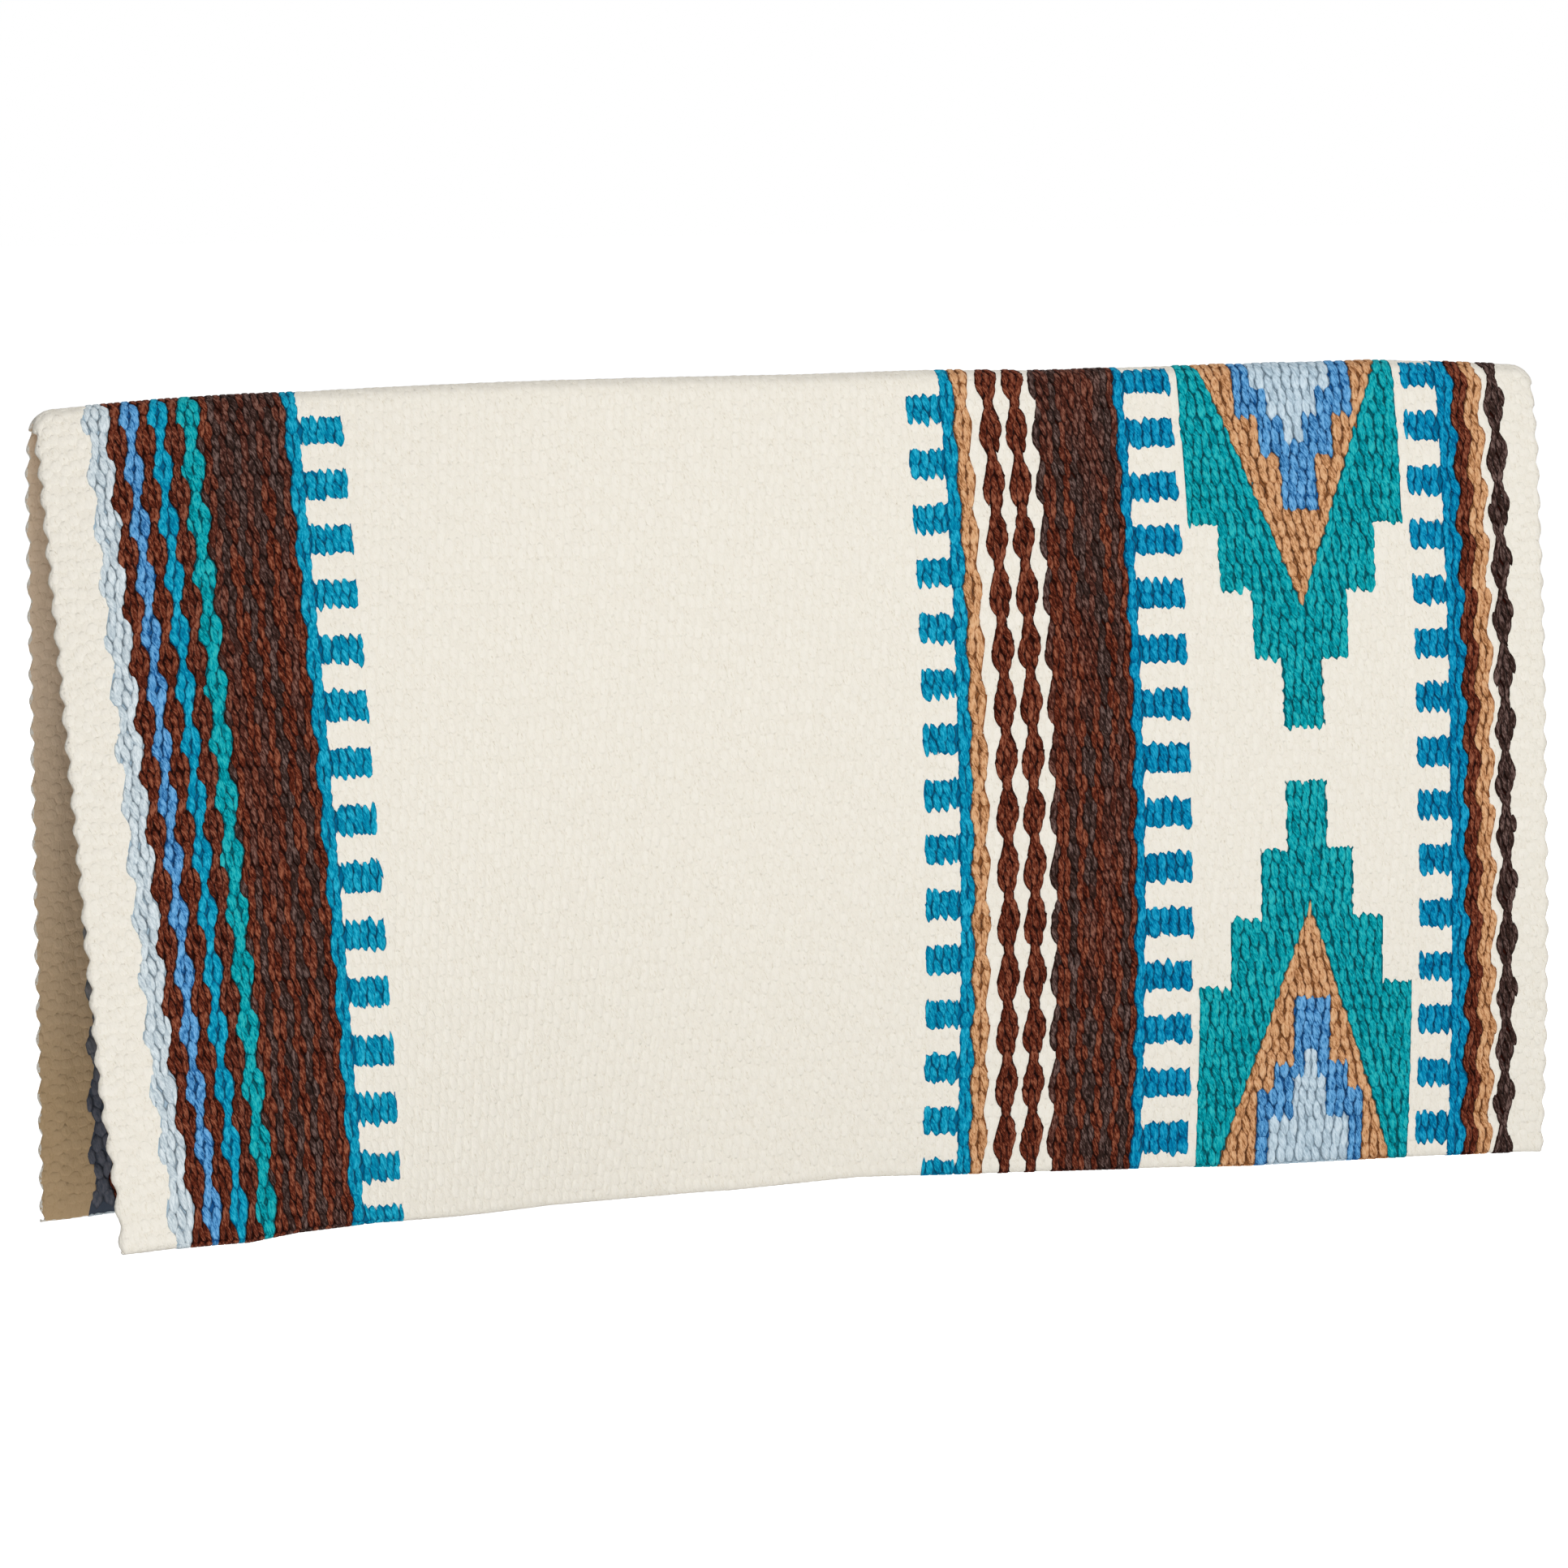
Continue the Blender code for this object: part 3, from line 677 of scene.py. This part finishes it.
def float_tree():
    """Geometry Nodes: one plump, pointed float of yarn on each point of the flat cloth."""
    tree = bpy.data.node_groups.new("yarn floats", "GeometryNodeTree")
    face = tree.interface
    face.new_socket("Points", in_out="INPUT", socket_type="NodeSocketGeometry")
    for name, kind, value in (
        ("Sides", "NodeSocketInt", 6), ("Rings", "NodeSocketInt", 6), ("Seed", "NodeSocketInt", 3),
        ("Point", "NodeSocketFloat", 0.8), ("Lean Jitter", "NodeSocketFloat", 0.1),
    ):
        face.new_socket(name, in_out="INPUT", socket_type=kind).default_value = value
    face.new_socket("Material", in_out="INPUT", socket_type="NodeSocketMaterial")
    face.new_socket("Floats", in_out="OUTPUT", socket_type="NodeSocketGeometry")
    given = tree.nodes.new("NodeGroupInput").outputs
    line = add_node(tree, "GeometryNodeCurvePrimitiveLine", {
        "Start": (0, -0.5, 0), "End": (0, 0.5, 0),
    })
    spine = add_node(tree, "GeometryNodeResampleCurve", {"Curve": line, "Count": given["Rings"]})
    along = add_node(tree, "GeometryNodeSplineParameter", {})
    turn = add_node(tree, "ShaderNodeMath", {0: along.outputs["Factor"], 1: math.pi},
                    operation="MULTIPLY")
    sine = add_node(tree, "ShaderNodeMath", {0: turn}, operation="SINE")
    whole = add_node(tree, "ShaderNodeMath", {0: sine, 1: 0}, operation="MAXIMUM")
    bulge = add_node(tree, "ShaderNodeMath", {0: whole, 1: given["Point"]}, operation="POWER")
    ring = add_node(tree, "GeometryNodeCurvePrimitiveCircle", {
        "Resolution": given["Sides"], "Radius": 0.5,
    })
    skin = add_node(tree, "GeometryNodeCurveToMesh", {
        "Curve": spine, "Profile Curve": ring, "Scale": bulge,
    })
    closed = add_node(tree, "GeometryNodeMergeByDistance", {"Geometry": skin, "Distance": 0.001})
    position = add_node(tree, "GeometryNodeInputPosition", {})
    marked = add_node(tree, "GeometryNodeStoreNamedAttribute", {
        "Geometry": closed, "Name": "grain", "Value": position,
    }, data_type="FLOAT_VECTOR")
    drawn = add_node(tree, "FunctionNodeRandomValue", {"Seed": given["Seed"]})
    tone = add_node(tree, "GeometryNodeStoreNamedAttribute", {
        "Geometry": given["Points"], "Name": "tone", "Value": drawn.outputs[1],
    })
    stray = add_node(tree, "FunctionNodeRandomValue", {2: -1, 3: 1, "Seed": given["Seed"]})
    lean = add_node(tree, "GeometryNodeInputNamedAttribute", {"Name": "lean"})
    extent, unit = (
        add_node(tree, "GeometryNodeInputNamedAttribute", {"Name": name}, data_type="FLOAT_VECTOR")
        for name in ("extent", "grain")
    )
    wag = add_node(tree, "ShaderNodeMath", {
        0: stray.outputs[1], 1: given["Lean Jitter"], 2: lean,
    }, operation="MULTIPLY_ADD")
    turned = add_node(tree, "ShaderNodeCombineXYZ", {"Z": wag})
    laid = add_node(tree, "GeometryNodeInstanceOnPoints", {
        "Points": tone, "Instance": marked,
        "Rotation": turned, "Scale": extent,
    })
    real = add_node(tree, "GeometryNodeRealizeInstances", {"Geometry": laid})
    full = add_node(tree, "ShaderNodeVectorMath", {0: unit, 1: extent}, operation="MULTIPLY")
    grained = add_node(tree, "GeometryNodeStoreNamedAttribute", {
        "Geometry": real, "Name": "grain", "Value": full,
    }, data_type="FLOAT_VECTOR")
    soft = add_node(tree, "GeometryNodeSetShadeSmooth", {"Geometry": grained})
    dyed = add_node(tree, "GeometryNodeSetMaterial", {
        "Geometry": soft, "Material": given["Material"],
    })
    add_node(tree, "NodeGroupOutput", {0: dyed})
    return tree


def outward(mesh):
    """Turns a closed mesh's faces outwards."""
    mesh.calc_loop_triangles()
    points = np.empty(len(mesh.vertices) * 3, np.float32)
    mesh.vertices.foreach_get("co", points)
    points = points.reshape(-1, 3).astype(float)
    corners = np.empty(len(mesh.loop_triangles) * 3, np.int32)
    mesh.loop_triangles.foreach_get("vertices", corners)
    a, b, c = points[corners.reshape(-1, 3)].transpose(1, 0, 2)
    if np.einsum("ij,ij->i", a - points.mean(0), np.cross(b - a, c - a)).sum() < 0:
        mesh.flip_normals()


def hang_mesh(mesh, side, inside):
    """Hangs a mesh of the flat cloth, and turns its yarn's grain to match the face."""
    flat = np.empty(len(mesh.vertices) * 3, np.float32)
    mesh.vertices.foreach_get("co", flat)
    hung_points = wrapped(side, inside, *flat.reshape(-1, 3).astype(float).T)
    mesh.vertices.foreach_set("co", hung_points.astype(np.float32).ravel())
    mirror = side if inside else -side
    grain = mesh.attributes["grain"].data
    grain.foreach_get("vector", flat)
    grain.foreach_set("vector", (flat.reshape(-1, 3) * np.float32((mirror, 1, 1))).ravel())
    outward(mesh)
    mesh.update()


def add_floats(name, side, inside, yarn, table, tree):
    """One piece: the floats in the table, made flat and then hung."""
    sizes = bpy.context.scene.blanket_yarn
    look = look_of(yarn)
    plump = plump_of(yarn)
    x, s, lift, wide, long, tone, slope = table.T
    dots = bpy.data.meshes.new(name)
    dots.vertices.add(len(table))
    dots.vertices.foreach_set("co", flat_row(x, s, lift - plump))
    for label, kind, field, values in (
        ("extent", "FLOAT_VECTOR", "vector", flat_row(wide, long, 2 * plump + 0 * x)),
        ("strand", "FLOAT", "value", flat_row(tone)),
        ("lean", "FLOAT", "value", flat_row(-np.arctan(slope))),
    ):
        dots.attributes.new(label, kind, "POINT").data.foreach_set(field, values)
    maker = linked(f"{name}_maker", dots)
    modifier = maker.modifiers.new("floats", "NODES")
    modifier.node_group = tree
    given = {
        "Sides": look["sides"], "Rings": INSIDE_RINGS if inside else look["rings"],
        "Point": sizes.point, "Lean Jitter": sizes.lean_jitter, "Material": wool(yarn, inside),
    }
    for socket in tree.interface.items_tree:
        if socket.name in given:
            modifier[socket.identifier] = given[socket.name]
    view = bpy.context.evaluated_depsgraph_get()
    view.update()
    mesh = bpy.data.meshes.new_from_object(maker.evaluated_get(view), depsgraph=view)
    bpy.data.objects.remove(maker)
    bpy.data.meshes.remove(dots)
    mesh.name = name
    for spare in ("extent", "lean"):
        mesh.attributes.remove(mesh.attributes[spare])
    hang_mesh(mesh, side, inside)
    return add_piece(name, mesh, side)


def flat_row(*columns):
    """Columns of numbers as the one long row that Blender takes."""
    return np.stack(columns, -1).astype(np.float32).ravel()


def linked(name, data):
    """A new object in the scene."""
    made = bpy.data.objects.new(name, data)
    bpy.context.scene.collection.objects.link(made)
    return made


def add_piece(name, mesh, side):
    """Links a finished mesh into the scene."""
    piece = linked(name, mesh)
    cloth, _, _ = cloth_sizes()
    crest, down = hung(side, np.zeros(2), np.array([0, cloth.bend_end]), np.zeros(2))
    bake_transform(piece)
    return piece


def wool(yarn, inside=False):
    """The yarn's material on the outer face or inside the fold, made once. Inside, some get painted
    shade.
    """
    inside = inside and yarn in SHADED_YARNS
    name = f"{yarn}_wool_yarn_inside_shade" if inside else f"{yarn}_wool_yarn"
    return bpy.data.materials.get(name) or make_wool(name, yarn, inside)


def make_wool(name, yarn, inside):
    """Handspun wool yarn: matt and fibrous, plies along it, with painted shade where it dips.

    Inside the fold a warm, dull painted shade stands for the light that has passed between the
    flaps.
    """
    look = look_of(yarn)
    plump = plump_of(yarn)
    material = bpy.data.materials.new(name)
    tree = empty_tree(material)
    grain, tone, strand = (
        add_node(tree, "ShaderNodeAttribute", {}, attribute_name=kept)
        for kept in ("grain", "tone", "strand")
    )
    # Each float has a stretch of noise of its own. Plies 1 mm wide run a little across it, and
    # fibres run more so, drawn 0.4 mm wide because real ones are too fine to show.
    own = add_node(tree, "ShaderNodeMath", {0: tone.outputs["Fac"], 1: 60}, operation="MULTIPLY")
    noises = []
    for turned, wide, long in ((-9, 0.0010, 0.0038), (-22, 0.0004, 0.0018)):
        laid = add_node(tree, "ShaderNodeMapping", {
            "Vector": grain.outputs["Vector"], "Rotation": (0, 0, math.radians(turned)),
            "Scale": (wide, long, long),
        }, vector_type="TEXTURE")
        noises.append(add_node(tree, "ShaderNodeTexNoise", {
            "Vector": laid, "W": own, "Scale": 1, "Detail": 2, "Roughness": 0.55,
        }, noise_dimensions="4D"))
    plies, fibres = noises
    fine = add_node(tree, "ShaderNodeMath", {0: fibres, 1: FIBRE_SHARE}, operation="MULTIPLY")
    fuzz = add_node(tree, "ShaderNodeMath", {0: plies, 1: 1 - FIBRE_SHARE, 2: fine},
                    operation="MULTIPLY_ADD")
    spread = add_node(tree, "ShaderNodeMapRange", {
        "Value": fuzz, "From Min": look["fuzz"][0], "From Max": look["fuzz"][1],
    })
    by_tone = add_node(tree, "ShaderNodeMath", {
        0: tone.outputs["Fac"], 1: look["by_float"], 2: FLOAT_SHADE,
    }, operation="MULTIPLY_ADD")
    level = add_node(tree, "ShaderNodeMath", {0: spread, 1: by_tone}, operation="ADD")
    # Painted shade: a float is lit in full from just over half its height up, darker below its
    # middle
    place = add_node(tree, "ShaderNodeSeparateXYZ", {0: grain.outputs["Vector"]})
    hollow_shade = add_node(tree, "ShaderNodeMapRange", {
        "Value": place.outputs["Z"], "From Min": -0.1 * plump, "From Max": 0.6 * plump,
        "To Min": look["hollow_shade"], "To Max": 0,
    })
    # Fibre and ply noise, each float's tone and the painted hollow shade together pick the colour
    fleck_and_shade = add_node(tree, "ShaderNodeMath", {0: level, 1: hollow_shade}, operation="ADD")
    dyed = add_ramp(tree, yarn, fleck_and_shade)
    if yarn in LOTS:
        # Strands in between are a blend of both lots
        second = add_ramp(tree, LOTS[yarn], fleck_and_shade)
        which = add_node(tree, "ShaderNodeMapRange", {
            "Value": strand.outputs["Fac"], "From Min": 0.3, "From Max": 0.7,
        })
        dyed = add_node(tree, "ShaderNodeMix", {"Factor": which, 6: dyed, 7: second},
                        data_type="RGBA").outputs[2]
    # Painted shade inside the fold: the colour is multiplied by a warm dull shade, lighter near the
    # fold
    if inside:
        colours = bpy.context.scene.blanket_colours
        where = add_node(tree, "ShaderNodeTexCoord", {})
        axes = add_node(tree, "ShaderNodeSeparateXYZ", {0: where.outputs["Object"]})
        high = add_node(tree, "ShaderNodeMapRange", {
            "Value": axes.outputs["Z"], "From Min": colours.inside_shade_low,
            "From Max": colours.inside_shade_top,
        })
        shade = add_node(tree, "ShaderNodeMix", {
            0: high, 6: (*getattr(colours, f"{yarn}_inside"), 1),
            7: (*colours.inside_shade_high, 1),
        }, data_type="RGBA")
        dyed = add_node(tree, "ShaderNodeMix", {0: 1, 6: dyed, 7: shade.outputs[2]},
                        data_type="RGBA", blend_type="MULTIPLY").outputs[2]
    # Plies and fibres stand out by under a millimetre, and wool has hardly any gloss
    bump = add_node(tree, "ShaderNodeBump", {
        "Height": fuzz, "Strength": look["bump"], "Distance": 0.0008,
    })
    shader = add_node(tree, "ShaderNodeBsdfPrincipled", {
        "Base Color": dyed, "Roughness": 0.95, "Normal": bump,
        "Sheen Weight": 0.02, "Sheen Roughness": 0.5, "Specular IOR Level": 0.03,
    })
    add_node(tree, "ShaderNodeOutputMaterial", {"Surface": shader})
    return material


def add_ramp(tree, yarn, level):
    """The yarn's colour from painted shade in its hollows to painted light on its fibres."""
    colours = bpy.context.scene.blanket_colours
    dark, mid, light = ((*getattr(colours, f"{yarn}{tail}"), 1) for tail in TAILS)
    ramp = add_node(tree, "ShaderNodeValToRGB", {"Fac": level})
    stops = ramp.color_ramp.elements
    stops[0].position, stops[0].color = 0, dark
    stops[1].position, stops[1].color = 1, light
    stops.new(0.5).color = mid
    return ramp.outputs["Color"]


def ground_rows(side):
    """Rows of the ground cloth, with the place of each one's row of floats.

    There are two to a row of floats, and four where the cloth bends over the fold.
    """
    cloth, _, drops = cloth_sizes()
    last = drops[side] - cloth.edge
    starts = row_starts(side)
    least = cloth.warp_pitch / 4
    whole = np.concatenate([[0], starts[(starts > least) & (starts < last - least)], [last]])
    halves = (whole[1:] + whole[:-1]) / 2
    rim = drops[side] + rim_reach() * np.array([0, 0.5, 1])
    rows = np.sort(np.append(whole, halves))
    curved = rows[rows < 3 * cloth.warp_pitch]
    rows = np.sort(np.append(rows, (curved[1:] + curved[:-1]) / 2))
    rows = np.append(rows, rim)
    number = np.floor(((rows[1:] + rows[:-1]) / 2 - starts[0]) / cloth.warp_pitch)
    places = starts[0] + (number + 0.5) * cloth.warp_pitch
    return rows, np.minimum(places, drops[side] - least)


def area_in(spans, part):
    """The area that is such a share of the way across a row of spans."""
    low, high = min(span[0] for span in spans), max(span[1] for span in spans)
    x = low + (high - low) * part
    return next(area for low, high, _, area in spans if low <= x <= high)


def add_ground(side):
    """The closed cloth under the floats of one flap, from the crest of the fold to the hem."""
    cloth, width, drops = cloth_sizes()
    yarn = bpy.context.scene.blanket_yarn
    past = rim_reach()
    rows, places = ground_rows(side)
    ends = width / 2 + np.array([past, past / 2, 0, -cloth.edge])
    lines = [np.full_like(rows, -x) for x in ends]
    cells = [np.full(len(places), "margin_left")] * len(ends)
    for lane in lanes():
        left, start, right, end, _ = lane
        low, high = edge_at(left, start, rows), edge_at(right, end, rows)
        spans = [spans_at(side, lane, s) for s in places]
        count = 2 * max(round((end - start) / yarn.column), 1)
        for i in range(1 if start < -width / 2 + past / 2 else 0, count):
            lines.append(low + (high - low) * i / count)
            cells.append([area_in(row, (i + 0.5) / count) for row in spans])
    lines += [np.full_like(rows, x) for x in ends[::-1]]
    cells += [np.full(len(places), "margin_right")] * (len(ends) - 1)
    x = np.stack(lines)
    draws = np.random.RandomState(SPIKE_SEED)
    # Every other line has its spikes up, and none is under 0.4 of the longest
    spikes = draws.uniform(0.4, 1, x.shape) * (-1) ** np.arange(len(x))[:, None] * cloth.spike
    level = (rows > cloth.warp_pitch / 2) & (rows < drops[side] - cloth.warp_pitch)
    s = rows + spikes * level * (np.abs(x) < width / 2 - yarn.column)
    deep = np.array([
        [yarn.cream_depth if yarn_of(area) == "cream" else yarn.ground_depth for area in column]
        for column in cells
    ])
    deep = np.pad(deep, 1, mode="edge")
    height = -np.min([deep[:-1, :-1], deep[1:, :-1], deep[:-1, 1:], deep[1:, 1:]], axis=0)
    outer = wrapped(side, False, x.ravel(), s.ravel(), height.ravel())
    inner = wrapped(side, True, x.ravel(), s.ravel(), height.ravel())
    across, down = x.shape
    mesh = bmesh.new()
    kept = mesh.verts.layers.float_vector.new("grain")
    yarns = sorted({yarn_of(area) for column in cells for area in column})
    skins = [wool(name, inside) for inside in (False, True) for name in yarns]
    verts = []
    for points in (outer, inner):
        layer = [mesh.verts.new(point) for point in points]
        for vert, a, b in zip(layer, x.ravel(), s.ravel()):
            # The ground's grain lies below the floats' middles, so the painted hollow shade darkens
            # it in full
            vert[kept] = (-side * a, b, -2 * yarn.plump)
        verts.append(layer)
    for number, layer in enumerate(verts):
        for i in range(across - 1):
            for j in range(down - 1):
                a, b = i * down + j, (i + 1) * down + j
                face = mesh.faces.new([layer[corner] for corner in (a, b, b + 1, a + 1)])
                face.material_index = yarns.index(yarn_of(cells[i][j])) + number * len(yarns)
                face.smooth = True
    for i in range(across - 1):
        a, b = i * down, (i + 1) * down
        mesh.faces.new([verts[0][a], verts[0][b], verts[1][b], verts[1][a]])
    bmesh.ops.remove_doubles(mesh, verts=mesh.verts[:], dist=1e-6)
    bmesh.ops.recalc_face_normals(mesh, faces=mesh.faces[:])
    data = bpy.data.meshes.new(f"ground_cloth_{FLAPS[side]}")
    mesh.to_mesh(data)
    mesh.free()
    for skin in skins:
        data.materials.append(skin)
    outward(data)
    return add_piece(data.name, data, side)


def solids_of(side, area):
    """The solids that an area's floats stand for."""
    solid = area
    if side == OFF:
        solid = OFF_SOLIDS.get(area, area)
        if area not in STRIPES and yarn_of(area) not in OFF_MOTIF_SOLIDS:
            solid = None
    return [f"{FLAPS[side]}_{solid}"] if solid else []


def add_flap(side):
    """The ground cloth and both faces' floats of one flap."""
    tree = bpy.data.node_groups.get("yarn floats") or float_tree()
    flap = FLAPS[side]
    ground = add_ground(side)
    areas, table = float_table(side, False)
    for area in dict.fromkeys(areas):
        piece = add_floats(
            f"yarn_{flap}_{area}", side, False, yarn_of(area), table[areas == area], tree
        )
        solids = solids_of(side, area)
        if solids:
            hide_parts(*solids)
    areas, table = float_table(side, True)
    yarns = np.array([yarn_of(area) for area in areas])
    for yarn in dict.fromkeys(yarns):
        add_floats(
            f"yarn_{flap}_inside_{yarn}", side, True, yarn, table[yarns == yarn], tree
        )
    if side == NEAR:
        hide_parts(CROWN)


class BLANKET_OT_near_flap(bpy.types.Operator):
    """Weaves the near flap"""

    bl_idname = "blanket.near_flap"
    bl_label = "Near flap"

    def execute(self, context):
        add_flap(NEAR)
        return {"FINISHED"}


class BLANKET_OT_off_flap(bpy.types.Operator):
    """Weaves the off flap"""

    bl_idname = "blanket.off_flap"
    bl_label = "Off flap"

    def execute(self, context):
        add_flap(OFF)
        return {"FINISHED"}


class BLANKET_OT_stage(bpy.types.Operator):
    """Sets the camera, the lamps, the floor and the white surround"""

    bl_idname = "blanket.stage"
    bl_label = "Stage"

    def execute(self, context):
        add_camera()
        add_lamps()
        add_floor()
        add_surround()
        return {"FINISHED"}


def add_camera():
    """The camera at the photograph's viewing angle."""
    stage = bpy.context.scene.blanket_stage
    a, e = stage.azimuth, stage.elevation
    back = Vector((math.sin(a) * math.cos(e), -math.cos(a) * math.cos(e), math.sin(e)))
    data = bpy.data.cameras.new("camera")
    data.lens = stage.lens
    camera = linked("camera", data)
    camera.location = Vector((stage.aim_x, 0, stage.aim_z)) + back * stage.distance
    camera.rotation_euler = (-back).to_track_quat("-Z", "Y").to_euler()
    bpy.context.scene.camera = camera


def add_lamps():
    """Large soft lamps aimed at the flaps: name, place, size in metres and power in watts."""
    aim = Vector((0, 0, -0.2))
    for name, place, wide, power in (
        ("key", (0.2, -3.0, 1.9), 1.6, 51),
        ("fill", (-0.3, -3.4, 0.4), 1.8, 35),
        ("back", (0.6, 2.8, 1.8), 1.8, 40),
    ):
        data = bpy.data.lights.new(name, "AREA")
        data.shape = "SQUARE"
        data.size = wide
        data.energy = power
        lamp = linked(name, data)
        lamp.location = place
        way = aim - Vector(place)
        lamp.rotation_euler = way.to_track_quat("-Z", "Y").to_euler()


def add_floor():
    """A plain pale floor under the hem, which keeps the object's shadow."""
    stage = bpy.context.scene.blanket_stage
    low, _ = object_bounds()
    height = low[2] - stage.floor_gap
    mesh = bmesh.new()
    bmesh.ops.create_grid(mesh, x_segments=8, y_segments=8, size=stage.floor_reach)
    bmesh.ops.translate(mesh, verts=mesh.verts[:], vec=(0, 0, height))
    data = bpy.data.meshes.new("floor")
    mesh.to_mesh(data)
    mesh.free()
    floor = linked("floor", data)
    material = bpy.data.materials.new("painted_studio_floor")
    tree = empty_tree(material)
    path = add_node(tree, "ShaderNodeLightPath", {})
    paint = add_node(tree, "ShaderNodeBsdfDiffuse", {"Color": (*stage.floor, 1)})
    glow = add_node(tree, "ShaderNodeMath", {
        0: path.outputs["Is Camera Ray"], 1: stage.floor_glow,
    }, operation="MULTIPLY")
    white = add_node(tree, "ShaderNodeEmission", {"Color": (1, 1, 1, 1), "Strength": glow})
    mixed = add_node(tree, "ShaderNodeAddShader", {0: paint, 1: white})
    add_node(tree, "ShaderNodeOutputMaterial", {"Surface": mixed})
    data.materials.append(material)
    floor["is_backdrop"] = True


def add_surround():
    """White to the camera, and a soft even light on the object."""
    world = bpy.data.worlds.new("surround")
    bpy.context.scene.world = world
    tree = empty_tree(world)
    path = add_node(tree, "ShaderNodeLightPath", {})
    seen = add_node(tree, "ShaderNodeMath", {
        0: path.outputs["Is Camera Ray"], 1: path.outputs["Is Glossy Ray"],
    }, operation="MAXIMUM")
    shown = add_node(tree, "ShaderNodeMath", {
        0: seen, 1: path.outputs["Is Transmission Ray"],
    }, operation="MAXIMUM")
    soft = add_node(tree, "ShaderNodeBackground", {
        "Color": (1, 1, 1, 1), "Strength": bpy.context.scene.blanket_stage.surround,
    })
    white = add_node(tree, "ShaderNodeBackground", {"Color": (1, 1, 1, 1), "Strength": 1})
    mixed = add_node(tree, "ShaderNodeMixShader", {
        0: shown, 1: soft, 2: white,
    })
    add_node(tree, "ShaderNodeOutputWorld", {"Surface": mixed})


STEPS = (BLANKET_OT_near_flap, BLANKET_OT_off_flap, BLANKET_OT_stage)


class BLANKET_PT_panel(bpy.types.Panel):
    """Lists the steps that make the blanket"""

    bl_idname = "BLANKET_PT_panel"
    bl_label = "Saddle blanket"
    bl_space_type = "VIEW_3D"
    bl_region_type = "UI"
    bl_category = "Blanket"

    def draw(self, context):
        for step in STEPS:
            self.layout.operator(step.bl_idname)
        for group in GROUPS:
            settings = getattr(context.scene, group)
            for name in settings.bl_rna.properties.keys():
                if name not in ("name", "rna_type"):
                    self.layout.prop(settings, name)


GROUPS = {
    "blanket_cloth": BlanketCloth,
    "blanket_yarn": BlanketYarn,
    "blanket_colours": BlanketColours,
    "blanket_stage": BlanketStage,
}
CLASSES = (*GROUPS.values(), *STEPS, BLANKET_PT_panel)


def register():
    for made in CLASSES:
        bpy.utils.register_class(made)
    for name, group in GROUPS.items():
        setattr(bpy.types.Scene, name, bpy.props.PointerProperty(type=group))


def unregister():
    for name in GROUPS:
        delattr(bpy.types.Scene, name)
    for made in reversed(CLASSES):
        bpy.utils.unregister_class(made)


def main():
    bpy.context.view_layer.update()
    register()
    view = bpy.context.scene.view_settings
    view.view_transform = "Standard"
    bpy.ops.blanket.near_flap()
    bpy.ops.blanket.off_flap()
    bpy.ops.blanket.stage()


if __name__ == "__main__":
    main()
